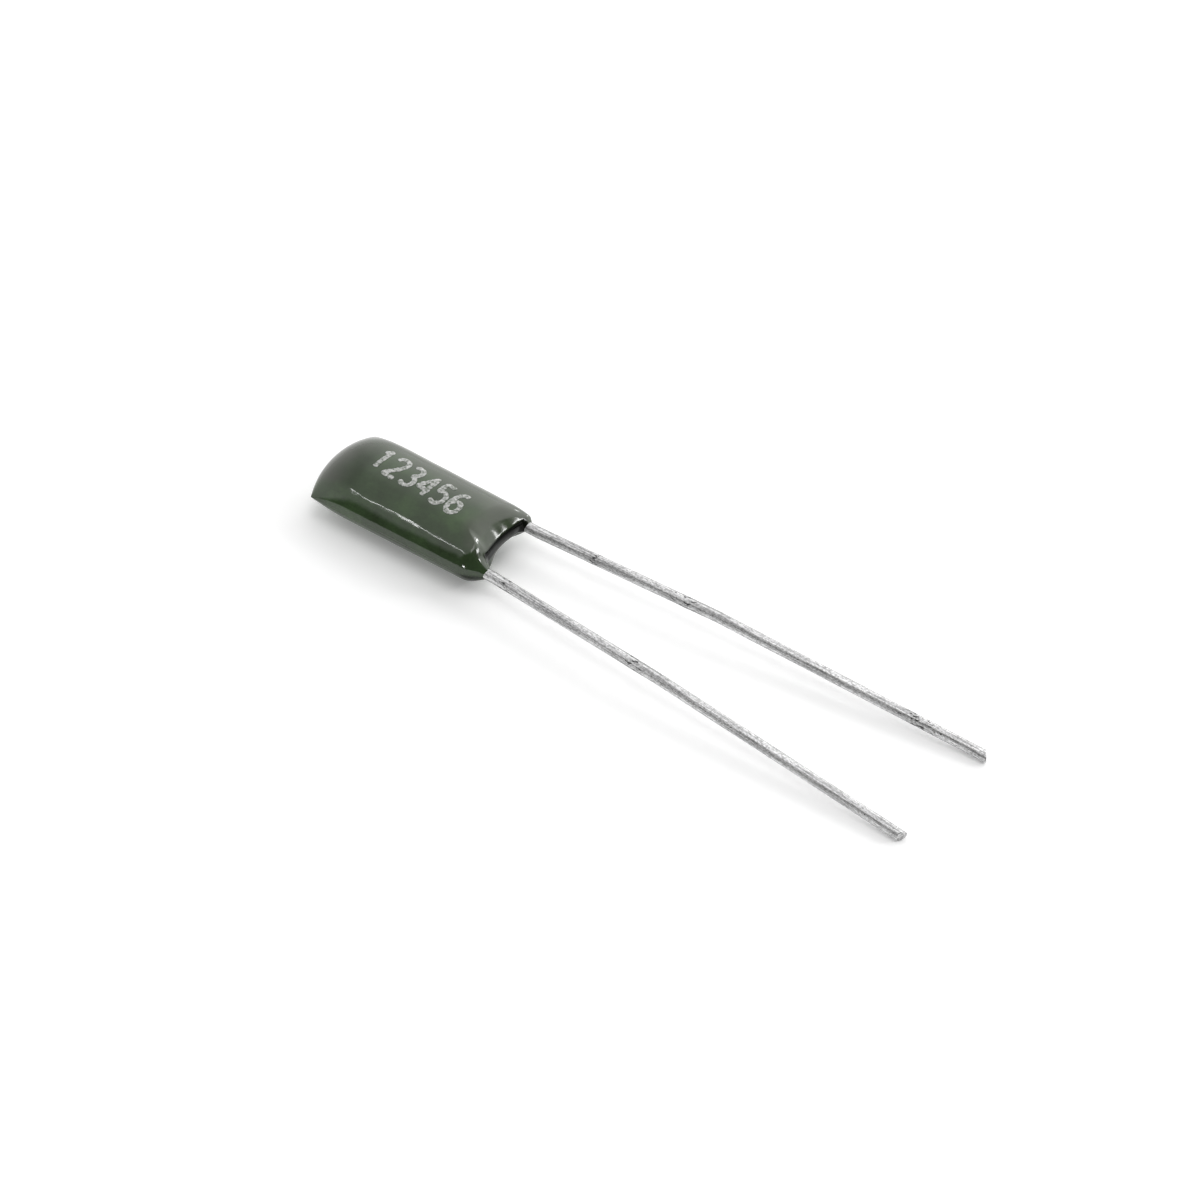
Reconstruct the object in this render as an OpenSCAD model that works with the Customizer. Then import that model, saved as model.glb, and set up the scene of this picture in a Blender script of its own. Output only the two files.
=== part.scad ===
// Dipped polyester film capacitor lying on its broad side, sizes in millimetres.
// x runs to the lead tips, y to the rear lead, z up from the floor.

/* [Leads] */
// Wire diameter
lead_d = 0.55; // [0.4:0.05:0.6]
// Distance between the two wires where they leave the coat
lead_pitch = 3.6; // [3.2:0.1:4.4]
// Straight wire between the longer collar and the bend beside it
lead_stub = 0.3; // [0.2:0.05:1.2]
// First leg, from the bend beside the coat to the second bend
lead_leg = 9.9; // [8:0.1:14]
// Tip leg of the rear lead, from the second bend to the cut
rear_tip_leg = 14.7; // [10:0.1:18]
// Tip leg of the front lead, from the second bend to the cut
front_tip_leg = 14.3; // [10:0.1:18]
// Angle of the rear lead's first leg away from the middle
rear_splay = 2.6; // [0.5:0.1:6]
// Angle of the front lead's first leg away from the middle
front_splay = 4.5; // [0.5:0.1:6]
// Angle of the tip legs away from the middle
tip_splay = 3; // [0.5:0.1:6]
// Radius of a bend on the centre line of the wire
bend_r = 3; // [1:0.5:5]
// Growth of the wire's radius where a bend has swollen it
bend_swell = 0.006; // [0.004:0.002:0.02]
// Slant of the cut across the rear tip, above zero where its rear side is the shorter one
rear_cut = 33; // [-35:1:35]
// Slant of the cut across the front tip
front_cut = -24; // [-35:1:35]
// Width of the blade pressed at the inner end of the wire
blade_w = 0.6; // [0.54:0.02:0.8]
// Thickness of the blade
blade_t = 0.32; // [0.2:0.02:0.4]
// Length of the blade
blade_l = 4.6; // [3:0.1:5]
// Length over which the round wire turns into the blade
blade_neck = 0.6; // [0.4:0.1:0.8]
// Round wire left inside the roll
root_l = 0.8; // [0.3:0.1:1]

/* [Winding] */
// Length of the roll, which is the width of the film
film_w = 7.3; // [7:0.1:9]
// Thickness of the roll after pressing
roll_t = 2; // [1.7:0.1:2.6]
// Film wound outside the blades
outer_turns = 0.05; // [0.03:0.01:0.3]
// Slope cut at both ends of the broad faces
roll_slope = 0.25; // [0.1:0.05:0.4]
// Radius of the slit that the winding pin leaves
core_r = 0.1; // [0.05:0.05:0.2]
// Step between the turns that show on the ends
turn_step = 0.2; // [0.16:0.02:0.4]
// Width of the groove between the turns
turn_gap = 0.06; // [0.04:0.01:0.1]
// Depth of the groove between the turns
turn_depth = 0.12; // [0.05:0.01:0.2]

/* [Coat] */
// Epoxy over the broad faces of the roll
face_wall = 0.31; // [0.25:0.01:0.6]
// Epoxy beside the roll at the far end, where the dip hangs in a drop
side_wall_far = 0.38; // [0.25:0.01:0.8]
// Epoxy beside the roll at the lead end
side_wall_near = 0.3; // [0.2:0.01:0.5]
// How far the roll and its leads lie to the rear of the coat's middle
roll_shift = 0.08; // [-0.08:0.01:0.1]
// Epoxy beyond the roll at the far end
far_margin = 1.6; // [1.5:0.1:2.5]
// Epoxy beyond the roll at the lead end
near_margin = 1.2; // [1.1:0.1:2]
// How far the far edge bows out
far_bow = 0.65; // [0.2:0.05:0.8]
// Length of the chisel at the far end
far_taper = 2.4; // [1.6:0.1:2.8]
// Thickness of the far edge itself
far_edge = 0.12; // [0.06:0.02:0.2]
// Length over which the lead end thins
near_taper = 1.3; // [1:0.1:1.8]
// Epoxy above and below the wires at the lead end
end_cover = 0.22; // [0.2:0.01:0.5]
// Depth of the arch between the two lead shoulders
arch_depth = 0.25; // [0.1:0.05:0.4]
// How far the dip line slants from one shoulder to the other, to each side of its middle
dip_slant = 0.04; // [0:0.02:0.1]
// Rounding of the rear shoulder seen from above
rear_corner_r = 0.35; // [0.1:0.05:0.5]
// Rounding of the front shoulder seen from above
front_corner_r = 0.9; // [0.1:0.05:1]
// How far the epoxy has crept along the rear wire
rear_collar = 0.15; // [0.1:0.05:0.5]
// How far the epoxy has crept along the front wire
front_collar = 0.4; // [0.1:0.05:0.5]
// Epoxy round the wire at the root of a collar
collar_wall = 0.22; // [0.15:0.01:0.28]
// Epoxy round the wire at the lip of a collar
collar_lip = 0.04; // [0.02:0.01:0.1]
// Length of a collar inside the lead end
collar_root = 0.3; // [0.2:0.05:0.4]
// Rounding above and below the end wall
end_round = 0.15; // [0.05:0.05:0.2]
// Dip taken off the two broad faces where the press left them flat
press_flat = 0.03; // [0.01:0.01:0.06]

/* [Hidden] */
$fn = 48;
lap = 0.02;
// Powers of the section across, along the body and at the lead end
section_power = 2.25;
end_power = 5;
// Powers of the chisel profile and of the thinning at the leads
chisel_power = 2.25;
chisel_blunt = 1.6;
thin_power = 1.5;
// Stations along the coat and steps across one of its faces
along = 36;
across = 28;
arc_steps = 10;

roll_w = lead_pitch + blade_w + 2 * outer_turns;
roll_half = (roll_w - roll_t) / 2;
half_turns = floor(2 * (roll_t / 2 - roll_slope - core_r) / turn_step);
coat_t = roll_t + 2 * face_wall;
coat_l = far_margin + film_w + near_margin;
half_far = roll_w / 2 + side_wall_far;
half_near = roll_w / 2 + side_wall_near;
skin_half = coat_t / 2 + press_flat;
end_half = lead_d / 2 + end_cover;
mid_z = coat_t / 2;
root_x = far_margin + film_w - root_l;
bend_x = coat_l + max(rear_collar, front_collar) + lead_stub;
drop = mid_z - lead_d / 2;
reach = bend_x + max(
    lead_leg * cos(rear_splay) + tip_run(rear_tip_leg) * cos(tip_splay),
    lead_leg * cos(front_splay) + tip_run(front_tip_leg) * cos(tip_splay)
);
mid_y = roll_shift + (side_reach(rear_splay, rear_tip_leg) - side_reach(front_splay, front_tip_leg)) / 2;

// Level length of a tip leg that comes down from the middle of the coat to the floor
function tip_run(leg) = sqrt(leg * leg - drop * drop);

// How far a wire comes away from the middle of the roll, to its outer side at the tip
function side_reach(splay, leg) =
    lead_pitch / 2 + lead_leg * sin(splay) + tip_run(leg) * sin(tip_splay) + lead_d / 2;

// Corners of one wire: inside the roll, beside the coat, at the second bend, at the cut
function wire_corners(side, leg) =
    let (
        splay = side > 0 ? rear_splay : front_splay,
        p0 = [root_x, side * lead_pitch / 2, mid_z],
        p1 = [bend_x, side * lead_pitch / 2, mid_z],
        p2 = p1 + lead_leg * [cos(splay), side * sin(splay), 0],
        run = tip_run(leg)
    )
    [p0, p1, p2, p2 + [run * cos(tip_splay), side * run * sin(tip_splay), -drop]];

function unit(v) = v / norm(v);

// Length that a bend takes from each of the legs that meet at it
function setback(a, b, c) =
    bend_r * tan(acos(min(1, unit(b - a) * unit(c - b))) / 2);

// Smooth step from 0 to 1
function ease(t) = let (u = min(1, max(0, t))) u * u * (3 - 2 * u);

// Drop of a quarter circle of radius r that ends at t = r
function round_off(t, r) = let (u = min(r, max(0, t))) r - sqrt(r * r - u * u);

// Edge of the lead end seen from above: a wide arch up to the shoulders, round corners
function end_x(y) =
    let (corner_r = y > 0 ? rear_corner_r : front_corner_r)
    coat_l - dip_slant * y / half_near
    - arch_depth * (1 - ease(abs(y) / half_near))
    - round_off(abs(y) - half_near + corner_r, corner_r);

// Share of the thinning at the leads, from 0 where it starts to 1 at the end
function thinning(s) = max(0, 1 - (1 - s) * coat_l / near_taper);

// Half thickness along the coat: chisel at the far end, thinning and round edge at the leads
function half_t(s) =
    let (far = pow(1 - pow(1 - min(1, s * coat_l / far_taper), chisel_power), 1 / chisel_blunt))
    far_edge / 2 + (skin_half - far_edge / 2) * far
    - (skin_half - end_half) * pow(thinning(s), thin_power)
    - round_off(end_round - (1 - s) * coat_l, end_round);

// Point of the coat at share s along and share e across, on the upper or the lower face:
// a rounded lens across the body that squares up towards the wires
function skin_point(s, e, face) =
    let (power = section_power + (end_power - section_power) * pow(thinning(s), 2))
    [
        s * end_x(e * half_near) + (1 - s) * far_bow * e * e,
        e * (half_far + (half_near - half_far) * s),
        mid_z + face * half_t(s) * sqrt(max(0, 1 - pow(abs(e), power)))
    ];

// Flattened spiral, one half turn after the other, moved outward by grow
function spiral(grow) = [
    for (k = [0:half_turns - 1]) for (i = [0:arc_steps])
        let (
            a = 180 * (k + i / arc_steps),
            r = core_r + turn_step * a / 360 + grow,
            c = k % 2 == 0 ? roll_half : -roll_half
        )
        [c + r * sin(a), -r * cos(a)]
];

function reversed(v) = [for (i = [len(v) - 1:-1:0]) v[i]];

// Turns a profile drawn across the part so that it is carried along x from x0
module along_x(x0, l) {
    translate([x0, 0, mid_z])
        rotate([90, 0, 90])
            linear_extrude(height = l)
                children();
}

module stadium(w, t) {
    square([w - t, t], center = true);
    for (side = [-1, 1])
        translate([side * (w - t) / 2, 0])
            circle(d = t);
}

module wire_between(a, b) {
    v = b - a;
    translate(a)
        rotate([0, acos(v[2] / norm(v)), atan2(v[1], v[0])])
            cylinder(d = lead_d, h = norm(v));
}

// Bend of the wire at corner b, between the legs to a and c
module wire_bend(a, b, c) {
    u = unit(b - a);
    v = unit(c - b);
    axis = unit(cross(u, v));
    inward = cross(axis, u);
    centre = b - u * setback(a, b, c) + inward * bend_r;
    past = atan(lap / bend_r);
    multmatrix([
        [-inward[0], u[0], axis[0], centre[0]],
        [-inward[1], u[1], axis[1], centre[1]],
        [-inward[2], u[2], axis[2], centre[2]],
        [0, 0, 0, 1]
    ])
        rotate([0, 0, -past])
            rotate_extrude(angle = acos(min(1, u * v)) + 2 * past)
                translate([bend_r, 0])
                    circle(r = lead_d / 2 + bend_swell);
}

// Flat blade at the inner end of the wire, and the neck that joins it to the round
module lead_blade(side) {
    neck_x = root_x - blade_neck;
    translate([0, side * lead_pitch / 2, 0]) {
        along_x(neck_x - blade_l, blade_l)
            stadium(blade_w, blade_t);
        hull() {
            along_x(neck_x - lap, lap)
                stadium(blade_w, blade_t);
            along_x(root_x, lap)
                circle(d = lead_d, $fn = 32);
        }
    }
}

// Round passage for a wire, from inside the roll
module lead_passage(side, l) {
    translate([0, side * lead_pitch / 2, 0])
        along_x(root_x, l)
            circle(d = lead_d);
}

// Part of the last leg that the cutter has taken off, on a slant
module tip_cut(a, b, slant) {
    v = b - a;
    translate(b)
        rotate([0, acos(v[2] / norm(v)), atan2(v[1], v[0])])
            translate([0, -sign(slant) * lead_d / 2, 0])
                rotate([-slant, 0, 0])
                    translate([-lead_d, -2 * lead_d, 0])
                        cube([2 * lead_d, 4 * lead_d, 2 * lead_d]);
}

module lead(side, leg, slant) {
    p = wire_corners(side, leg);
    back = [0, setback(p[0], p[1], p[2]), setback(p[1], p[2], p[3]), 0];
    difference() {
        union() {
            lead_blade(side);
            for (i = [0:2]) {
                u = unit(p[i + 1] - p[i]);
                wire_between(p[i] + u * back[i], p[i + 1] - u * back[i + 1]);
            }
            for (i = [1:2])
                wire_bend(p[i - 1], p[i], p[i + 1]);
        }
        tip_cut(p[2], p[3], slant);
    }
}

// Pressed roll without its grooves, which is also the room it takes in the coat
module roll() {
    h = roll_t / 2;
    c = roll_slope;
    intersection() {
        along_x(far_margin, film_w)
            stadium(roll_w, roll_t);
        translate([far_margin, roll_w / 2 + lap, mid_z])
            rotate([90, 0, 0])
                linear_extrude(height = roll_w + 2 * lap)
                    polygon([
                        [0, c - h], [c, -h], [film_w - c, -h], [film_w, c - h],
                        [film_w, h - c], [film_w - c, h], [c, h], [0, h - c]
                    ]);
    }
}

// Groove between the turns, sunk into the end of the roll at x
module turn_groove(x) {
    along_x(x - turn_depth, 2 * turn_depth)
        polygon(concat(spiral(turn_gap / 2), reversed(spiral(-turn_gap / 2))));
}

// Dipped skin as rings of points, each over the upper face and back under the lower one
module coat_skin() {
    ring = 2 * across;
    points = [
        for (j = [0:along]) for (i = [0:ring - 1])
            let (
                k = i <= across ? i : ring - i,
                s = (1 - cos(180 * j / along)) / 2
            )
            skin_point(s, sin(180 * k / across - 90), i <= across ? 1 : -1)
    ];
    sides = [
        for (j = [0:along - 1]) for (i = [0:ring - 1])
            let (
                a = j * ring + i,
                b = j * ring + (i + 1) % ring
            )
            each [[a, b, b + ring], [a, b + ring, a + ring]]
    ];
    ends = [
        for (j = [0, along]) for (i = [0:across - 1])
            let (
                t0 = j * ring + i,
                t1 = t0 + 1,
                b0 = j * ring + (ring - i) % ring,
                b1 = j * ring + ring - i - 1
            )
            each concat(
                i < across - 1 ? [j == 0 ? [t1, t0, b1] : [t0, t1, b1]] : [],
                i > 0 ? [j == 0 ? [b1, t0, b0] : [t0, b1, b0]] : []
            )
    ];
    polyhedron(points = points, faces = concat(sides, ends));
}

// Epoxy that crept along a wire, from inside the lead end to a thin lip
module collar(side, l) {
    translate([coat_l - collar_root, side * lead_pitch / 2, mid_z])
        rotate([0, 90, 0])
            cylinder(r1 = lead_d / 2 + collar_wall, r2 = lead_d / 2 + collar_lip, h = collar_root + l);
}

module epoxy_coat() {
    longest = max(rear_collar, front_collar);
    color("#46553c")
        translate([-reach / 2, -mid_y, 0])
            difference() {
                union() {
                    intersection() {
                        coat_skin();
                        translate([-lap, -half_far - lap, 0])
                            cube([coat_l + dip_slant + 2 * lap, 2 * (half_far + lap), coat_t]);
                    }
                    translate([0, roll_shift, 0]) {
                        collar(1, rear_collar);
                        collar(-1, front_collar);
                    }
                }
                translate([0, roll_shift, 0]) {
                    roll();
                    for (side = [-1, 1])
                        lead_passage(side, root_l + near_margin + longest + lap);
                }
            }
}

module winding() {
    color("#c6cbd0")
        translate([-reach / 2, roll_shift - mid_y, 0])
            difference() {
                roll();
                for (x = [far_margin, far_margin + film_w])
                    turn_groove(x);
                for (side = [-1, 1]) {
                    lead_blade(side);
                    lead_passage(side, root_l + lap);
                }
            }
}

module lead_rear() {
    color("#b4b6b8")
        translate([-reach / 2, roll_shift - mid_y, 0])
            lead(1, rear_tip_leg, rear_cut);
}

module lead_front() {
    color("#b4b6b8")
        translate([-reach / 2, roll_shift - mid_y, 0])
            lead(-1, front_tip_leg, front_cut);
}

epoxy_coat();
winding();
lead_rear();
lead_front();
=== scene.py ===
# Looks of a dipped polyester film capacitor that lies on a white table.
# Lengths in the dictionaries are millimetres; x runs to the lead tips, y to the rear lead, z up.
# A pair that goes into ramp() is where it is 0 and where it is 1; a pair named a wave is wavelength and seed.
import bpy
import numpy as np
from mathutils import Matrix, Vector


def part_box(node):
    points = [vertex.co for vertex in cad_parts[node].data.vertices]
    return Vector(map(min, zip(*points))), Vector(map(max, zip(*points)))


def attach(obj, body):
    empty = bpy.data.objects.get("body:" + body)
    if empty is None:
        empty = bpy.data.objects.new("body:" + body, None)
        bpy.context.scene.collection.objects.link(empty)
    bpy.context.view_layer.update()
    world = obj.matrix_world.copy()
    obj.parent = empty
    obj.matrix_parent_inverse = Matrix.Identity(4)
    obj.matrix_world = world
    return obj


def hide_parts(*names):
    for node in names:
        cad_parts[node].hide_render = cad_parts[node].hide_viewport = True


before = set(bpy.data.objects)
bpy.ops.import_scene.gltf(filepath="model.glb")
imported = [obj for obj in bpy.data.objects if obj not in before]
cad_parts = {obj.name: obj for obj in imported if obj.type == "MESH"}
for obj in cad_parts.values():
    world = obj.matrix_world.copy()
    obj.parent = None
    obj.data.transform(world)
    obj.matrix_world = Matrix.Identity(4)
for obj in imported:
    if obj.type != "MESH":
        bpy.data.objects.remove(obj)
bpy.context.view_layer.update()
mm = 0.001
tiny = 1e-9                                     # added to a divisor that may be 0
coatLow, coatHigh = (np.array(corner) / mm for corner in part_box("epoxy_coat"))
farX = coatLow[0]                               # far crown of the coat, from which the shapes count x
midY, midZ = (coatLow[1:] + coatHigh[1:]) / 2   # middle of the coat, in whose plane both wires leave
coatPlace = np.array([farX, midY, midZ])
print("frame loaded:", sorted(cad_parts))


# sRGB hex colour as linear RGBA
def linear(hexColour):
    srgb = np.array([int(hexColour[i:i + 2], 16) for i in (1, 3, 5)]) / 255
    value = np.where(srgb <= 0.04045, srgb / 12.92, ((srgb + 0.055) / 1.055) ** 2.4)
    return (*value.tolist(), 1.0)


# Adds one node; inputs are values or the sockets that feed them, stops are a colour ramp's.
# A colour mix takes its two colours at inputs 6 and 7 and gives the result at output 2
def addNode(tree, kind, inputs=None, stops=None, **settings):
    node = tree.nodes.new(kind)
    for name, value in settings.items():
        setattr(node, name, value)
    for name, value in (inputs or {}).items():
        if isinstance(value, bpy.types.NodeSocket):
            tree.links.new(value, node.inputs[name])
        else:
            node.inputs[name].default_value = value
    for i, (place, colour) in enumerate(stops or []):
        element = node.color_ramp.elements[i] if i < 2 else node.color_ramp.elements.new(place)
        element.position, element.color = place, linear(colour)
    return node


# Material with an empty node tree
def newMaterial(name):
    material = bpy.data.materials.new(name)
    material.use_nodes = True
    material.node_tree.nodes.clear()
    return material, material.node_tree


# Smooth step from 0 at the span's first value to 1 at its second, which may be the lower one
def ramp(value, span):
    start, end = span
    u = np.clip((value - start) / (end - start), 0, 1)
    return u * u * (3 - 2 * u)


# Bell curve of height 1 over t = 0
def bell(t, wide):
    return np.exp(-0.5 * (t / wide) ** 2)


# Drop of a quarter circle of radius r that ends at t = r
def roundOff(t, r):
    u = np.clip(t, 0, r)
    return r - np.sqrt(r * r - u * u)


# Vectors brought to length 1
def unit(vectors):
    return vectors / (np.linalg.norm(vectors, axis=-1, keepdims=True) + tiny)


# Even mix of plane waves of about one wavelength in scattered directions, from about -1 to 1
def waves(points, wavelength, seed, count=9, spread=(0.7, 1.4), gain=1.6):
    rng = np.random.default_rng(seed)
    direction = unit(rng.normal(size=(count, points.shape[-1])))
    turns = points @ (direction * rng.uniform(*spread, (count, 1))).T / wavelength
    return np.sin(2 * np.pi * (turns + rng.uniform(size=count))).mean(-1) * gain


# Line through corners walked in even steps: its points, and the length walked up to each
def evenSteps(corners, step):
    walked = np.concatenate([[0], np.cumsum(np.linalg.norm(np.diff(corners, axis=0), axis=1))])
    steps = np.linspace(0, walked[-1], int(walked[-1] / step) + 1)
    return np.stack([np.interp(steps, walked, axis) for axis in corners.T], -1), steps


# Closed skin over a grid of rings: each row joins end to start, points that agree to six decimals
# become one, and the faces that this empties are left out
def ringMesh(name, points, material, **attributes):
    rows, ring = points.shape[:2]
    flat = points.reshape(-1, 3)
    _, first, same = np.unique(np.round(flat, 6), axis=0, return_index=True, return_inverse=True)
    ids = same.reshape(rows, ring)
    a, d = ids[:-1], ids[1:]
    b, c = np.roll(a, -1, axis=1), np.roll(d, -1, axis=1)
    tris = np.concatenate([np.stack([a, b, c], -1), np.stack([a, c, d], -1)]).reshape(-1, 3)
    tris = tris[(tris[:, 0] != tris[:, 1]) & (tris[:, 1] != tris[:, 2]) & (tris[:, 2] != tris[:, 0])]
    mesh = bpy.data.meshes.new(name)
    mesh.from_pydata(flat[first] * mm, [], tris)
    mesh.polygons.foreach_set("use_smooth", np.ones(len(tris), bool))
    for title, values in attributes.items():
        layer = mesh.attributes.new(title, "FLOAT_VECTOR", "POINT")
        layer.data.foreach_set("vector", np.broadcast_to(values, points.shape).reshape(-1, 3)[first].ravel())
    mesh.materials.append(material)
    piece = bpy.data.objects.new(name, mesh)
    bpy.context.scene.collection.objects.link(piece)
    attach(piece, "root")
    return piece


# Epoxy, dipped and cured: deep bottle green, a wet gloss, faint clouds of pigment and orange peel,
# a painted grey reflection where the skin faces the bright room, and painted shade to near black at the lead
# end and where it turns under
def greenEpoxy():
    material, tree = newMaterial("greenEpoxy")
    place = addNode(tree, "ShaderNodeTexCoord").outputs["Object"]
    clouds = addNode(tree, "ShaderNodeTexNoise", {
        "Vector": place, "Scale": 1 / (1.7 * mm), "Detail": 5.0, "Roughness": 0.62})
    pigment = addNode(tree, "ShaderNodeValToRGB", {"Fac": clouds.outputs["Fac"]},
                      stops=[(0.30, "#27341e"), (0.72, "#3c5230"), (0.52, "#304127")])
    # painted grey reflection, mixed over the pigment where the skin faces the bright room
    bloom = addNode(tree, "ShaderNodeAttribute", attribute_name="bloom")
    green = addNode(tree, "ShaderNodeMix", {
        "Factor": bloom.outputs["Fac"], 6: pigment.outputs["Color"], 7: linear("#464a3f")}, data_type="RGBA")
    # painted shade: a near black colour and a weaker mirror on the end wall, its rim and under the front
    # corner
    pooled = addNode(tree, "ShaderNodeAttribute", attribute_name="pooled")
    deep = addNode(tree, "ShaderNodeMix", {
        "Factor": pooled.outputs["Fac"], 6: green.outputs[2], 7: linear("#0d100b")}, data_type="RGBA")
    shadeDimmedMirror = addNode(tree, "ShaderNodeMapRange", {
        "Value": pooled.outputs["Fac"], "To Min": 0.5, "To Max": 0.08})
    film = addNode(tree, "ShaderNodeTexNoise", {
        "Vector": place, "Scale": 1 / (0.5 * mm), "Detail": 4.0})
    gloss = addNode(tree, "ShaderNodeMapRange", {
        "Value": film.outputs["Fac"], "From Min": 0.3, "From Max": 0.7, "To Min": 0.06, "To Max": 0.13})
    peel = addNode(tree, "ShaderNodeTexNoise", {
        "Vector": place, "Scale": 1 / (0.35 * mm), "Detail": 3.0})
    bump = addNode(tree, "ShaderNodeBump", {
        "Height": peel.outputs["Fac"], "Strength": 1.0, "Distance": 0.003 * mm})
    skin = addNode(tree, "ShaderNodeBsdfPrincipled", {
        "Base Color": deep.outputs[2], "Roughness": gloss.outputs["Result"],
        "Specular IOR Level": shadeDimmedMirror.outputs["Result"], "Normal": bump.outputs["Normal"], "IOR": 1.6})
    addNode(tree, "ShaderNodeOutputMaterial", {"Surface": skin.outputs["BSDF"]})
    return material


# Tinned copper-clad steel, drawn: light grey and nearly matt, with lines along the wire, a fine grain
# and dark pits that gather where the wire was scuffed. wirePlace is in millimetres, z along the wire
def tinnedWire():
    material, tree = newMaterial("tinnedWire")
    place = addNode(tree, "ShaderNodeAttribute", attribute_name="wirePlace").outputs["Vector"]
    scuff = addNode(tree, "ShaderNodeAttribute", attribute_name="scuff").outputs["Fac"]
    drawn = addNode(tree, "ShaderNodeMapping", {
        "Vector": place, "Scale": (1 / 0.07, 1 / 0.07, 1 / 3.0)})   # lines .07 wide and 3 long
    lines = addNode(tree, "ShaderNodeTexNoise", {
        "Vector": drawn.outputs["Vector"], "Scale": 1.0, "Detail": 2.0})
    tin = addNode(tree, "ShaderNodeValToRGB", {"Fac": lines.outputs["Fac"]},
                  stops=[(0.34, "#a5a5a5"), (0.64, "#ebebeb"), (0.48, "#d2d2d2")])
    grainGrid = addNode(tree, "ShaderNodeMapping", {
        "Vector": place, "Scale": (1 / 0.06, 1 / 0.06, 1 / 0.12)})  # grain .06 wide and .12 long
    grainField = addNode(tree, "ShaderNodeTexNoise", {
        "Vector": grainGrid.outputs["Vector"], "Scale": 1.0, "Detail": 1.0})
    grain = addNode(tree, "ShaderNodeValToRGB", {"Fac": grainField.outputs["Fac"]},
                    stops=[(0.35, "#c4c4c4"), (0.6, "#ffffff")])
    grey = addNode(tree, "ShaderNodeMix", {
        "Factor": 1.0, 6: tin.outputs["Color"], 7: grain.outputs["Color"]},
        data_type="RGBA", blend_type="MULTIPLY")
    pitGrid = addNode(tree, "ShaderNodeMapping", {
        "Vector": place, "Scale": (1 / 0.1, 1 / 0.1, 1 / 0.22)})    # pits .1 wide and .22 long
    pitField = addNode(tree, "ShaderNodeTexNoise", {
        "Vector": pitGrid.outputs["Vector"], "Scale": 1.0, "Detail": 3.0})
    gathered = addNode(tree, "ShaderNodeMath", {
        0: scuff, 1: 0.13, 2: pitField.outputs["Fac"]}, operation="MULTIPLY_ADD")
    pits = addNode(tree, "ShaderNodeMapRange", {
        "Value": gathered.outputs["Value"], "From Min": 0.66, "From Max": 0.72})
    colour = addNode(tree, "ShaderNodeMix", {
        "Factor": pits.outputs["Result"], 6: grey.outputs[2], 7: linear("#4c4c4c")}, data_type="RGBA")
    satin = addNode(tree, "ShaderNodeMapRange", {
        "Value": lines.outputs["Fac"], "From Min": 0.3, "From Max": 0.7, "To Min": 0.52, "To Max": 0.38})
    bump = addNode(tree, "ShaderNodeBump", {
        "Height": lines.outputs["Fac"], "Strength": 1.0, "Distance": 0.006 * mm})
    skin = addNode(tree, "ShaderNodeBsdfPrincipled", {
        "Base Color": colour.outputs[2], "Metallic": 1.0, "Roughness": satin.outputs["Result"],
        "Normal": bump.outputs["Normal"]})
    addNode(tree, "ShaderNodeOutputMaterial", {"Surface": skin.outputs["BSDF"]})
    return material


# Stamped white ink, dry: chalky and thin, with the green showing where the stamp did not wet
def whiteInk():
    material, tree = newMaterial("whiteInk")
    place = addNode(tree, "ShaderNodeTexCoord").outputs["Object"]
    blots = addNode(tree, "ShaderNodeTexNoise", {
        "Vector": place, "Scale": 1 / (0.13 * mm), "Detail": 4.0, "Roughness": 0.6})
    ink = addNode(tree, "ShaderNodeValToRGB", {"Fac": blots.outputs["Fac"]},
                  stops=[(0.38, "#5b6456"), (0.66, "#cbcbc9"), (0.49, "#9fa19d")])
    skin = addNode(tree, "ShaderNodeBsdfPrincipled", {
        "Base Color": ink.outputs["Color"], "Roughness": 0.55})
    addNode(tree, "ShaderNodeOutputMaterial", {"Surface": skin.outputs["BSDF"]})
    return material


# Aluminium foil wound between polyester films: silvery turns edge on, hazy where the film lies over
def filmAndFoil():
    material, tree = newMaterial("filmAndFoil")
    place = addNode(tree, "ShaderNodeTexCoord").outputs["Object"]
    creases = addNode(tree, "ShaderNodeMapping", {
        "Vector": place, "Scale": (1 / (3 * mm), 1 / (0.4 * mm), 1 / (0.2 * mm))})
    hazy = addNode(tree, "ShaderNodeTexNoise", {
        "Vector": creases.outputs["Vector"], "Scale": 1.0, "Detail": 3.0})
    foil = addNode(tree, "ShaderNodeValToRGB", {"Fac": hazy.outputs["Fac"]},
                   stops=[(0.3, "#a5abb1"), (0.7, "#d6dade")])
    sheen = addNode(tree, "ShaderNodeMapRange", {
        "Value": hazy.outputs["Fac"], "To Min": 0.2, "To Max": 0.45})
    skin = addNode(tree, "ShaderNodeBsdfPrincipled", {
        "Base Color": foil.outputs["Color"], "Metallic": 0.8, "Roughness": sheen.outputs["Result"]})
    addNode(tree, "ShaderNodeOutputMaterial", {"Surface": skin.outputs["BSDF"]})
    return material


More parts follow.
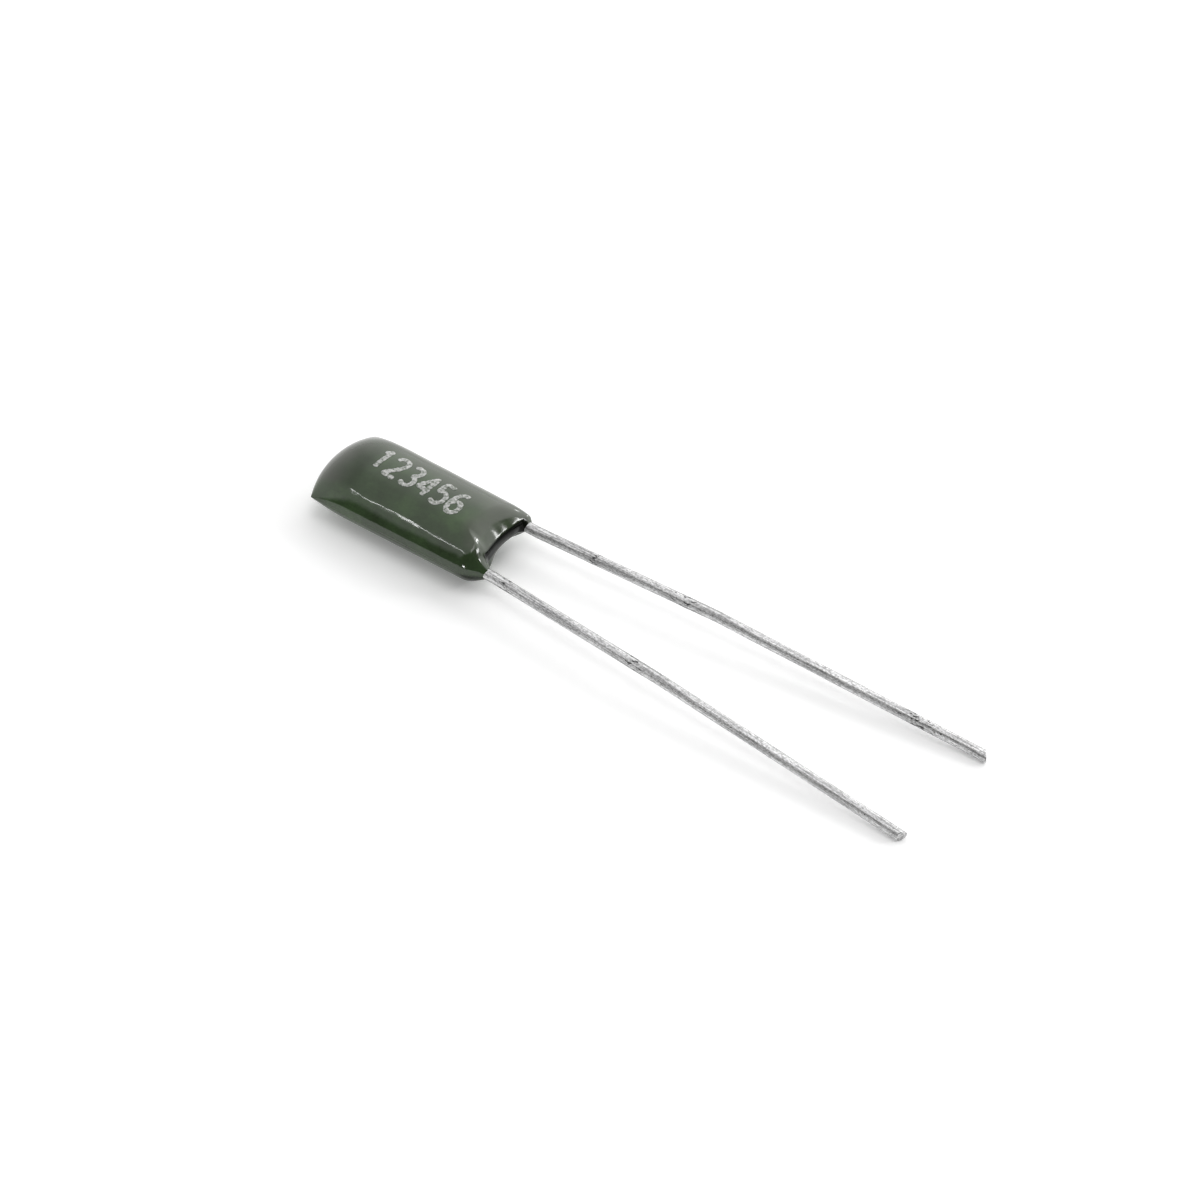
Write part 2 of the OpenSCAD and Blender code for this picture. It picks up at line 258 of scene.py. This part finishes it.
# White card: matt, so that it takes the shadows softly; a share of plain white for the eye and for mirrors
def whiteCard():
    material, tree = newMaterial("whiteCard")
    place = addNode(tree, "ShaderNodeTexCoord").outputs["Object"]
    fibres = addNode(tree, "ShaderNodeTexNoise", {"Vector": place, "Scale": 1 / (0.8 * mm), "Detail": 2.0})
    card = addNode(tree, "ShaderNodeValToRGB", {"Fac": fibres.outputs["Fac"]},
                   stops=[(0.3, "#fbfbfb"), (0.7, "#fdfdfd")])
    matt = addNode(tree, "ShaderNodeBsdfDiffuse", {"Color": card.outputs["Color"]})
    ray = addNode(tree, "ShaderNodeLightPath")
    direct = addNode(tree, "ShaderNodeMath", {
        0: ray.outputs["Is Camera Ray"], 1: ray.outputs["Is Glossy Ray"]}, operation="MAXIMUM")
    seen = addNode(tree, "ShaderNodeMath", {
        0: direct.outputs["Value"], 1: ray.outputs["Is Transmission Ray"]}, operation="MAXIMUM")
    share = addNode(tree, "ShaderNodeMath", {0: seen.outputs["Value"], 1: 0.15}, operation="MULTIPLY")
    white = addNode(tree, "ShaderNodeEmission", {
        "Color": linear("#ffffff"), "Strength": share.outputs["Value"]})
    skin = addNode(tree, "ShaderNodeAddShader", {0: matt.outputs["BSDF"], 1: white.outputs["Emission"]})
    addNode(tree, "ShaderNodeOutputMaterial", {"Surface": skin.outputs["Shader"]})
    return material


coatSet = {
    "length": 10.1, "halfFar": 2.53, "halfNear": 2.45, "farBow": 0.65,
    "sectionPower": 2.25, "endPower": 5.0,                              # squareness across, middle and leads
    "farTaper": 2.4, "farEdge": 0.06, "chiselPower": 2.25, "chiselBlunt": 1.6,
    "nearTaper": 1.3, "thinPower": 1.5, "endHalf": 0.495, "endRound": 0.15,     # thinning at the leads
    "frontLater": 0.55, "frontTurn": (-0.3, -0.58),                     # shares by which it starts later
    "rearLater": 0.1, "rearTurn": (0.3, 0.75),
    "archDepth": 0.25, "dipSlant": 0.04, "rearCorner": 0.35, "frontCorner": 0.9,
    "undercut": 0.31, "undercutRear": (2.1, 1.2), "undercutFront": (-0.85, 0.65),   # end wall's lower edge
    "frontFoot": 0.08, "footY": -1.1, "footWide": 0.3, "wallUpright": 0.85,
    "rollShift": 0.08, "collarY": 1.8, "collarHole": 0.275,             # collars round the wires
    "rearRoot": 0.5, "frontRoot": 0.75, "rearCollar": 0.15, "frontCollar": 0.4,
    "creepBack": 0.4, "creepPower": 1.8,
    "rows": 250, "halfRing": 165, "wallRows": 24, "farRows": 3,
    "marks": {
        "swell": 0.012, "swellWave": (2.6, 3), "ripple": 0.0025, "rippleWave": (0.75, 11),
        "fromFar": (0, 0.8), "fromNear": (0.5, 1.3),                    # swells and ripples spare both ends
        "runX": (2.2, 2.7, 3.4, 4.1, 4.8, 5.5, 6.3, 6.9, 7.8, 8.5, 9.3, 9.9),   # line of the front run
        "runY": (-1.67, -1.74, -1.84, -1.78, -1.77, -1.71, -1.74, -1.83, -1.91, -1.85, -1.93, -1.9),
        "runHigh": 0.003, "runWide": 0.04, "runFar": (2.0, 2.5), "runNear": (9.9, 9.0), "steepest": 0.3,
        "wiggle": 0.02, "wiggleWave": (0.5, 5), "even": 0.75,
        "longUneven": 0.3, "longWave": (1.3, 8), "shortUneven": 0.25, "shortWave": (0.3, 9),
        "ridgeX": (9.93, 9.37, 9.19, 9.17, 9.38, 9.63),                 # ridge where the last dip ended
        "ridgeY": (-1.75, -1.39, -0.61, 0.21, 0.88, 1.64),
        "ridgeHigh": 0.012, "ridgeWide": 0.09, "ridgeEnds": (1.9, 1.6),
        "lip": 0.011, "lipWave": (0.65, 27), "lipRise": (0, 0.3),
        "full": 0.06, "fullY": -2.2, "fullWide": 0.45, "fullFar": (3, 9), "fullNear": (9.9, 9.2),
    },
    # where the painted grey reflection lies
    "bloom": {
        "drift": 0.35, "driftWave": (1.6, 17), "rear": 0.6, "rearY": (-0.1, 1.9), "chiselX": (2.3, 0.7),
        "near": 0.7, "nearX": (7.9, 9.2), "nearSlant": 0.25, "lipClear": 0.5, "lipX": (0, 0.2),
        "frontY": (-1.9, -1.5), "downZ": (-0.5, 0.4),
    },
    # where the painted shade lies
    "pooled": {
        "rim": (0.12, 0.06), "frontY": (-1.5, -1.15), "wiresY": (2.05, 1.75),
        "lower": 0.35, "lowerY": (0.8, 1.4),
        "corner": 0.75, "cornerX": (8.7, 9.6), "cornerY": (-1.3, -1.9), "cornerZ": (0.125, -0.125),
        "chisel": 0.24, "chiselFar": (0.2, 1.0), "chiselNear": (3.0, 2.0), "chiselY": (-1.9, -1.5),
    },
}


# Edge of the lead end seen from above: a wide arch up to the shoulders, round corners
def endEdge(y):
    c = coatSet
    arch = c["archDepth"] * (1 - ramp(np.abs(y), (0, c["halfNear"])))
    radius = np.where(y > 0, c["rearCorner"], c["frontCorner"])
    corner = roundOff(np.abs(y) - c["halfNear"] + radius, radius)
    return c["length"] - c["dipSlant"] * y / c["halfNear"] - arch - corner


# Share of the thinning at the leads, from 0 where it starts to 1 at the end; it starts later at both sides
def thinning(s, e):
    c = coatSet
    later = c["frontLater"] * ramp(e, c["frontTurn"]) + c["rearLater"] * ramp(e, c["rearTurn"])
    return np.maximum(0, 1 - (1 - s) * c["length"] / (c["nearTaper"] * (1 - later)))


# Half thickness along the coat: chisel at the far end, thinning and a round edge at the leads
def halfThick(s, e):
    c = coatSet
    blunt = np.minimum(1, s * c["length"] / c["farTaper"])
    chisel = (1 - (1 - blunt) ** c["chiselPower"]) ** (1 / c["chiselBlunt"])
    return (c["farEdge"] + (midZ - c["farEdge"]) * chisel
            - (midZ - c["endHalf"]) * thinning(s, e) ** c["thinPower"]
            - roundOff(c["endRound"] - (1 - s) * c["length"], c["endRound"]))


# Point of the coat at share s along it and share e across it, on the upper (1) or lower (-1) face:
# a rounded lens across the body that squares up towards the wires. Its lower face ends sooner in the
# rear half of the arch and a little later at the front
def coatPoint(s, e, face):
    c = coatSet
    power = c["sectionPower"] + (c["endPower"] - c["sectionPower"]) * thinning(s, e) ** 2
    side = e * c["halfNear"]
    short = c["undercut"] * ramp(side, c["undercutRear"]) * ramp(side, c["undercutFront"])
    short = short - c["frontFoot"] * bell(side - c["footY"], c["footWide"])
    x = s * (endEdge(side) - short * (face < 0)) + (1 - s) * c["farBow"] * e * e
    y = e * (c["halfFar"] + (c["halfNear"] - c["halfFar"]) * s)
    z = face * halfThick(s, e) * np.sqrt(np.maximum(0, 1 - np.abs(e) ** power))
    return np.stack([x, y, z], -1)


# How far the epoxy has crept along the wires: a hollow cone round each wire, highest at the wire
def creep(y, z):
    c = coatSet
    aside = y - c["rollShift"]
    off = np.hypot(np.abs(aside) - c["collarY"], z)
    tall = np.where(aside > 0, c["rearCollar"], c["frontCollar"])
    root = np.where(aside > 0, c["rearRoot"], c["frontRoot"])
    return tall * np.clip((root - off) / (root - c["collarHole"]), 0, 1) ** c["creepPower"]


# How far a place lies past the ridge of the last dip, towards the wires
def pastRidge(x, y):
    return x - np.interp(y, coatSet["marks"]["ridgeY"], coatSet["marks"]["ridgeX"])


# Marks that the dip left, along the normal: slow swells and fine ripples sunk into the skin, one wavy
# run of epoxy on the front round, a ridge with a wavy lip past it on the slope to the wires, and a
# fuller front round towards the wires
def dipMarks(points, normals):
    m = coatSet["marks"]
    x, y, z = np.moveaxis(points, -1, 0)
    lengthwise = x[..., None]
    sunk = m["swell"] * (waves(points, *m["swellWave"]) - 1) / 2
    sunk = sunk + m["ripple"] * (waves(points, *m["rippleWave"]) - 1) / 2
    sunk = sunk * ramp(x, m["fromFar"]) * ramp(coatSet["length"] - x, m["fromNear"])
    line = np.interp(x, m["runX"], m["runY"]) + m["wiggle"] * waves(lengthwise, *m["wiggleWave"])
    off = (y - line) / np.maximum(m["steepest"], normals[..., 2])
    uneven = (m["even"] + m["longUneven"] * waves(lengthwise, *m["longWave"])
              + m["shortUneven"] * waves(lengthwise, *m["shortWave"]))
    run = m["runHigh"] * ramp(x, m["runFar"]) * ramp(x, m["runNear"]) * uneven * bell(off, m["runWide"])
    past = pastRidge(x, y)
    ridge = m["ridgeHigh"] * bell(past, m["ridgeWide"])
    lip = m["lip"] * ramp(past, m["lipRise"]) * (waves(points[..., :2], *m["lipWave"]) - 1) / 2
    full = m["full"] * ramp(x, m["fullFar"]) * ramp(x, m["fullNear"]) * bell(y - m["fullY"], m["fullWide"])
    return sunk + (run + (ridge + lip) * ramp(np.abs(y), m["ridgeEnds"]) + full) * (z > 0)


# Share of painted grey reflection, from 0 to 1, where the skin faces the bright room: over the rear round,
# the far chisel and the slope to the wires, but fainter past the ridge and gone on the front and on the
# underside
def paintedReflectionShare(points):
    b = coatSet["bloom"]
    x, y, z = np.moveaxis(points, -1, 0)
    drift = b["drift"] * waves(points, *b["driftWave"])
    greyReflection = np.maximum(b["rear"] * ramp(y + drift, b["rearY"]), ramp(x - drift, b["chiselX"]))
    near = b["near"] * ramp(x + drift + b["nearSlant"] * y, b["nearX"])
    near = near * (1 - b["lipClear"] * ramp(pastRidge(x, y), b["lipX"]))
    return np.maximum(greyReflection, near) * ramp(y, b["frontY"]) * ramp(z, b["downZ"])


# Share of painted shade on the epoxy, from 0 to 1: between the wires, on the rim and the end wall,
# less so on the wall's lower half; under the front corner; and faintly on the far chisel.
# left is each row's distance from the lead end, below 0 on the end wall
def paintedShadeShare(points, left, upper):
    p = coatSet["pooled"]
    x, y, z = np.moveaxis(points, -1, 0)
    above = ramp(left, p["rim"]) * ramp(y, p["frontY"])
    below = (left < 0) * (p["lower"] + (1 - p["lower"]) * ramp(y, p["lowerY"]))
    wall = np.where(upper, above, below) * ramp(np.abs(y), p["wiresY"])
    corner = ramp(x, p["cornerX"]) * ramp(y, p["cornerY"]) * ramp(z, p["cornerZ"])
    chisel = ramp(x, p["chiselFar"]) * ramp(x, p["chiselNear"]) * ramp(y, p["chiselY"]) * (z > 0)
    return np.maximum(wall, p["corner"] * corner + p["chisel"] * chisel)


# Rows of the end wall from the rim to its middle line: z shrinks to 0 while x curves from each face's
# edge to a line between them that keeps wallUpright of the upper one, and the collars rise to the wires
def endWall(rim, upper, mirrored):
    c = coatSet
    share = np.linspace(0, 1, c["wallRows"] + 1)[1:, None]
    x, y, z = np.moveaxis(rim, -1, 0)
    own = np.where(upper, c["wallUpright"], 1 - c["wallUpright"])
    middle = x * own + x[mirrored] * (1 - own)
    curve = np.where(upper, share ** 2, 1 - (1 - share) ** 2)
    wall = rim * (1 - share[..., None] * (0, 0, 1))
    wall[..., 0] += curve * (middle - x) + creep(wall[..., 1], wall[..., 2]) - creep(y, z)
    return wall


# Coat as rings: over the upper face from rear to front and back under, far edge to lead end,
# with rows at both ends that close the end walls on their middle line
def makeCoat(material):
    c = coatSet
    s = (1 - np.cos(np.pi * np.linspace(0, 1, c["rows"] + 1))) / 2      # rows gather at both ends
    turn = np.pi * (0.5 - np.arange(2 * c["halfRing"]) / c["halfRing"])
    upper = np.cos(turn) >= 0
    mirrored = -np.arange(len(turn))                                    # same place on the other face
    left = (1 - s) * c["length"]
    skin = coatPoint(s[:, None], np.sin(turn), np.where(upper, 1.0, -1.0))
    around = np.roll(skin, -1, axis=1) - np.roll(skin, 1, axis=1)
    normals = unit(np.cross(around, np.gradient(skin, axis=0)))
    skin = skin + normals * dipMarks(skin, normals)[..., None]
    skin[..., 0] += ramp(left, (c["creepBack"], 0))[:, None] * creep(skin[..., 1], skin[..., 2])
    farShare = np.linspace(1, 0, c["farRows"], endpoint=False)[:, None, None]
    rings = np.concatenate([skin[0] * (1 - farShare * (0, 0, 1)), skin, endWall(skin[-1], upper, mirrored)])
    for end in (0, -1):
        rings[end] = (rings[end] + rings[end, mirrored]) / 2            # both faces meet on one line
    left = np.pad(left, (c["farRows"], c["wallRows"]), constant_values=(c["length"], -1))[:, None]
    # the shares of painted grey reflection and of painted shade go to the mesh
    piece = ringMesh("coat", rings + coatPlace, material,
                     bloom=paintedReflectionShare(rings)[..., None], pooled=paintedShadeShare(rings, left, upper)[..., None])
    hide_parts("epoxy_coat")
    return piece


leadSet = {
    "diameter": 0.55, "pitch": 3.6, "rootX": 8.1, "bendX": 10.8, "leg": 9.9, "bendRadius": 3.0,
    "tipSplay": 3.0, "bladeWide": 0.6, "bladeThick": 0.32, "bladeLong": 4.6, "neck": 0.6,
    "round": 48, "step": 0.07, "arcPoints": 9, "endRows": 5, "cutLong": 0.6,
    "lineDeep": 0.004, "lineStretch": 6, "lineWave": (1.6, 21),         # draw lines, long and narrow
    "nickLong": 0.28, "nickDeep": 0.22, "nickSpread": 0.12,             # shares of the radius at depth 1
    # nicks are place and depth, scuffs place and length; places count from the coat
    "rear": {"side": 1, "splay": 2.6, "tipLeg": 14.7, "cut": 33.0,
             "nicks": ((3.96, 0.3), (8.93, 0.35), (25.0, 0.5)),
             "scuffs": ((3.9, 0.2), (8.9, 0.5), (21.5, 0.8))},
    "front": {"side": -1, "splay": 4.5, "tipLeg": 14.3, "cut": -24.0,
              "nicks": ((9.35, 0.5),),
              "scuffs": ((9.3, 0.4), (1.5, 0.3))},
}


# Middle line of a wire with its three legs joined by arcs: at each corner the arc of the bend radius
# replaces the point, then the line is walked in even steps
def wireLine(side, splay, tipLeg):
    w = leadSet
    splay, tipSplay = np.radians([splay, w["tipSplay"]])
    drop = midZ - w["diameter"] / 2
    run = np.sqrt(tipLeg ** 2 - drop ** 2)
    sideY = coatSet["rollShift"] + side * w["pitch"] / 2
    start = np.array([w["rootX"] - w["neck"] - w["bladeLong"], sideY, 0])
    bend = np.array([w["bendX"], sideY, 0])
    second = bend + w["leg"] * np.array([np.cos(splay), side * np.sin(splay), 0])
    tip = second + np.array([run * np.cos(tipSplay), side * run * np.sin(tipSplay), -drop])
    line = [start[None]]
    for a, b, c in ((start, bend, second), (bend, second, tip)):
        u, v = (b - a) / np.linalg.norm(b - a), (c - b) / np.linalg.norm(c - b)
        angle = np.arccos(u @ v)
        back = w["bendRadius"] * np.tan(angle / 2)
        inward = (v - u * (u @ v)) / np.sin(angle)
        t = np.linspace(0, angle, w["arcPoints"])[:, None]
        line.append(b - u * back + w["bendRadius"] * (u * np.sin(t) + inward * (1 - np.cos(t))))
    return evenSteps(np.concatenate(line + [tip[None]]), w["step"])


# Wire: a profile carried along the middle line. The profile is a circle outside and two half circles
# moved apart on the blade inside; draw lines and nicks change its radius, the cut slants its last rings,
# and smaller rings close both ends
def makeLead(name, node, settings, material):
    w = leadSet
    line, along = wireLine(settings["side"], settings["splay"], settings["tipLeg"])
    inside = along[np.searchsorted(line[:, 0], coatSet["length"])]      # length inside the coat
    radius = w["diameter"] / 2
    ahead = unit(np.gradient(line, axis=0))
    across = unit(np.cross((0, 0, 1), ahead))
    upward = np.cross(ahead, across)
    turn = 2 * np.pi * (np.arange(w["round"]) + 0.5) / w["round"]
    level, rise = np.cos(turn), np.sin(turn)
    blade = ramp(along, (w["bladeLong"] + w["neck"], w["bladeLong"]))[:, None]
    apart = blade * (w["bladeWide"] - w["bladeThick"]) / 2
    rim = radius + blade * (w["bladeThick"] / 2 - radius)
    place = np.stack(np.broadcast_arrays(level * radius, rise * radius, along[:, None]), -1)
    lines = place * (w["lineStretch"] / radius, w["lineStretch"] / radius, 1 / w["lineStretch"])
    rim = rim - w["lineDeep"] * (1 - waves(lines, *w["lineWave"])) / 2 * (1 - blade)
    nick = sum(deep * bell(along - inside - at, w["nickLong"]) for at, deep in settings["nicks"])[:, None]
    wide = apart * np.sign(level) + rim * level * (1 + w["nickSpread"] * nick)
    high = rim * rise * (1 - w["nickDeep"] * nick * (rise > 0))
    rings = line[:, None] + across[:, None] * wide[..., None] + upward[:, None] * high[..., None]
    trim = np.tan(np.radians(settings["cut"])) * (wide[-1] + np.sign(settings["cut"]) * radius)
    slanted = np.clip(1 - (along[-1] - along) / w["cutLong"], 0, 1)[:, None]
    rings = rings - ahead[:, None] * (slanted * trim)[..., None]
    growing = np.linspace(0, 1, w["endRows"] + 1)[:, None, None]        # end faces, from middle to rim
    faces = [rings[i].mean(0) + (rings[i] - rings[i].mean(0)) * growing for i in (0, -1)]
    grain = [place[i] * (1 - (1 - growing) * (1, 1, 0)) for i in (0, -1)]
    rings = np.concatenate([faces[0][:-1], rings, faces[1][-2::-1]])
    place = np.concatenate([grain[0][:-1], place, grain[1][-2::-1]])
    scuff = sum(bell(place[..., 2:] - inside - at, long) for at, long in settings["scuffs"])
    piece = ringMesh(name, rings + coatPlace, material, wirePlace=place, scuff=scuff)
    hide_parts(node)
    return piece


inkSet = {
    "start": (2.66, 0.52), "end": (7.28, 0.16), "high": 1.42, "wide": 0.76, "stroke": 0.25,
    "thick": 0.012, "lift": 0.004, "waver": 0.16, "waverLength": 0.22, "seed": 40,
    "code": "123456", "round": 10, "step": 0.035, "smooth": 3, "heightPasses": 12,
    "strokes": {                        # corners of each figure in a box one wide and one high
        "1": [[(0.2, 0.76), (0.55, 1.0), (0.55, 0.0)]],
        "2": [[(0.05, 0.76), (0.2, 0.95), (0.5, 1.0), (0.82, 0.93), (0.92, 0.72), (0.7, 0.45),
               (0.05, 0.0), (0.98, 0.0)]],
        "3": [[(0.08, 0.9), (0.4, 1.0), (0.8, 0.93), (0.86, 0.7), (0.66, 0.55), (0.36, 0.52)],
              [(0.4, 0.52), (0.76, 0.48), (0.94, 0.28), (0.8, 0.06), (0.42, 0.0), (0.04, 0.12)]],
        "4": [[(0.74, 0.0), (0.74, 1.0), (0.04, 0.3), (1.0, 0.3)]],
        "5": [[(0.9, 1.0), (0.2, 1.0), (0.14, 0.55), (0.5, 0.64), (0.88, 0.5), (0.92, 0.2),
               (0.56, 0.0), (0.06, 0.1)]],
        "6": [[(0.84, 0.94), (0.52, 1.0), (0.18, 0.8), (0.07, 0.4), (0.2, 0.08), (0.54, 0.0),
               (0.88, 0.12), (0.92, 0.38), (0.7, 0.58), (0.36, 0.54), (0.1, 0.34)]],
    },
}


# Height of the coat's upper face over a place seen from above: the shares s and e are found by
# putting each into the other's formula a few times, and the dip marks are added
def topHeight(x, y):
    c = coatSet
    s = x / c["length"]
    for _ in range(inkSet["heightPasses"]):
        e = y / (c["halfFar"] + (c["halfNear"] - c["halfFar"]) * s)
        s = (x - c["farBow"] * e * e) / (endEdge(e * c["halfNear"]) - c["farBow"] * e * e)
    points = coatPoint(s, e, 1.0)
    upright = np.broadcast_to((0.0, 0.0, 1.0), points.shape)
    return points[..., 2] + dipMarks(points, upright)


# One stroke of ink: a flat oval carried along the smoothed line of the figure, closed to a point at
# both ends, with a width that wavers as a worn stamp's does
def inkStroke(corners, seed):
    k = inkSet
    line, steps = evenSteps(corners, k["step"])
    padded = np.pad(line, ((k["smooth"], k["smooth"]), (0, 0)), mode="edge")
    span = 2 * k["smooth"] + 1
    line = sum(padded[i:i + len(line)] for i in range(span)) / span     # mean of the points around
    ahead = unit(np.gradient(line, axis=0))
    across = np.stack([-ahead[:, 1], ahead[:, 0]], -1)
    fromEnd = np.minimum(1, np.minimum(steps, steps[::-1]) / (k["stroke"] / 2))
    cap = np.sqrt(1 - (1 - fromEnd) ** 2)                               # round ends
    turn = 2 * np.pi * np.arange(k["round"]) / k["round"]
    half = k["stroke"] / 2 * cap * (1 + k["waver"] * waves(line, k["waverLength"], seed))
    flat = line[:, None] + across[:, None] * (half[:, None] * np.cos(turn))[..., None]
    z = topHeight(flat[..., 0], flat[..., 1]) + k["lift"] + k["thick"] * cap[:, None] * np.sin(turn)
    return np.concatenate([flat, z[..., None]], -1)


# Printed code: each figure's box is set at an even share of the line from start to end, upright to it
def makeInk(material):
    k = inkSet
    first, last = np.array(k["start"]), np.array(k["end"])
    reading = (last - first) / np.linalg.norm(last - first)
    upward = np.array([-reading[1], reading[0]])
    for n, figure in enumerate(k["code"]):
        centre = first + (last - first) * n / (len(k["code"]) - 1)
        for m, stroke in enumerate(k["strokes"][figure]):
            box = np.array(stroke) - 0.5
            corners = centre + box[:, :1] * k["wide"] * reading + box[:, 1:] * k["high"] * upward
            rings = inkStroke(corners, k["seed"] + 10 * n + m)
            piece = ringMesh(f"inkFigure{n}_{m}", rings + coatPlace, material)


stageSet = {"floorSize": 3000.0, "cameraFar": 300.0, "elevation": 45.889, "azimuth": 35.922,
            "lens": 192.511, "sensor": 36.0, "clipNear": 10.0, "clipFar": 20000.0,
            "target": (14.929, 1.03, 0.0), "lampFar": 900.0}
target = (Vector(stageSet["target"]) + Vector((farX, midY, 0))) * mm


# Unit direction at an azimuth from x towards y and an elevation, in degrees
def heading(azimuth, elevation):
    a, e = np.radians(azimuth), np.radians(elevation)
    return Vector((np.cos(a) * np.cos(e), np.sin(a) * np.cos(e), np.sin(e)))


# Table top: one square of card round the origin
def makeFloor(material):
    half = stageSet["floorSize"] / 2 * mm
    corners = [(-half, -half, 0), (half, -half, 0), (half, half, 0), (-half, half, 0)]
    floorMesh = bpy.data.meshes.new("floor")
    floorMesh.from_pydata(corners, [], [(0, 1, 2, 3)])
    floorMesh.materials.append(material)
    floor = bpy.data.objects.new("floor", floorMesh)
    bpy.context.scene.collection.objects.link(floor)


lampSet = {
    "skyPanel": {"azimuth": -20, "elevation": 84, "wide": 480, "tall": 480, "radiance": 2.4},
    "sideBox": {"azimuth": 38, "elevation": 26, "wide": 160, "tall": 200, "radiance": 14.0},
    "rearSpot": {"azimuth": 94, "elevation": 14, "wide": 60, "tall": 60, "radiance": 8.0},
    "rimStrip": {"azimuth": 84, "elevation": 6, "wide": 100, "tall": 120, "radiance": 12.0},
    "cornerSpot": {"azimuth": -84, "elevation": 9, "wide": 150, "tall": 80, "radiance": 22.0},
    "frontStrip": {"azimuth": -142, "elevation": 58, "wide": 240, "tall": 16, "radiance": 22.0},
}


# Lamp over the table, turned to the target; radiance 1 is the white of the card
def makeLamp(name, azimuth, elevation, wide, tall, radiance):
    light = bpy.data.lights.new(name, "AREA")
    light.shape = "RECTANGLE"
    light.size, light.size_y = wide * mm, tall * mm
    light.energy = radiance * np.pi * light.size * light.size_y
    lamp = bpy.data.objects.new(name, light)
    lamp.location = target + heading(azimuth, elevation) * stageSet["lampFar"] * mm
    lamp.rotation_mode = "QUATERNION"
    lamp.rotation_quaternion = (-heading(azimuth, elevation)).to_track_quat("-Z", "Y")
    lamp.visible_camera = False
    bpy.context.scene.collection.objects.link(lamp)


# Each tone goes over from its first colour to its second by the cosine of the angle to its direction
roomSet = {
    "strength": 2.6,
    "walls": {"toward": (0, 90), "stops": [(0.5, "#ababab"), (0.88, "#929292")]},
    "window": {"toward": (80, 26), "stops": [(0.6, "#000000"), (0.95, "#9a9a9a")]},
    "front": {"toward": (-45, 5), "stops": [(0.13, "#ffffff"), (0.25, "#505050")]},
}


# Room: pale walls under a dimmer ceiling, a window wall added behind the table, and all of it
# darkened in front, behind the camera
def makeRoom():
    world = bpy.data.worlds.new("room")
    world.use_nodes = True
    tree = world.node_tree
    tree.nodes.clear()
    direction = addNode(tree, "ShaderNodeTexCoord").outputs["Generated"]
    tones = {}
    for part in ("walls", "window", "front"):
        angle = addNode(tree, "ShaderNodeVectorMath", {
            0: direction, 1: heading(*roomSet[part]["toward"])}, operation="DOT_PRODUCT")
        tones[part] = addNode(tree, "ShaderNodeValToRGB", {"Fac": angle.outputs["Value"]},
                              stops=roomSet[part]["stops"]).outputs["Color"]
    bright = addNode(tree, "ShaderNodeMix", {
        "Factor": 1.0, 6: tones["walls"], 7: tones["window"]}, data_type="RGBA", blend_type="ADD")
    room = addNode(tree, "ShaderNodeMix", {
        "Factor": 1.0, 6: bright.outputs[2], 7: tones["front"]}, data_type="RGBA", blend_type="MULTIPLY")
    lit = addNode(tree, "ShaderNodeBackground", {"Color": room.outputs[2], "Strength": roomSet["strength"]})
    addNode(tree, "ShaderNodeOutputWorld", {"Surface": lit.outputs["Background"]})
    bpy.context.scene.world = world


# Camera that looks down at the target from the front, on the side of the lead tips
def setCamera():
    camera = bpy.data.cameras.new("camera")
    camera.lens, camera.sensor_width = stageSet["lens"], stageSet["sensor"]
    camera.clip_start, camera.clip_end = stageSet["clipNear"] * mm, stageSet["clipFar"] * mm
    eye = bpy.data.objects.new("camera", camera)
    back = heading(stageSet["azimuth"] - 90, stageSet["elevation"])
    rightward = heading(stageSet["azimuth"], 0)
    facing = Matrix((rightward, back.cross(rightward), back)).transposed().to_4x4()
    eye.matrix_world = Matrix.Translation(target + back * stageSet["cameraFar"] * mm) @ facing
    bpy.context.scene.collection.objects.link(eye)
    bpy.context.scene.camera = eye
    bpy.context.scene.view_settings.view_transform = "Standard"


epoxy = greenEpoxy()
tin = tinnedWire()
coat = makeCoat(epoxy)
print("coat made:", len(coat.data.polygons), "faces")
makeLead("leadRear", "lead_rear", leadSet["rear"], tin)
makeLead("leadFront", "lead_front", leadSet["front"], tin)
print("leads made")
makeInk(whiteInk())
print("ink made")
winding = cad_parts["winding"]
winding.data.materials.clear()
winding.data.materials.append(filmAndFoil())
makeFloor(whiteCard())
for name, lamp in lampSet.items():
    makeLamp(name, **lamp)
makeRoom()
setCamera()
print("stage set")
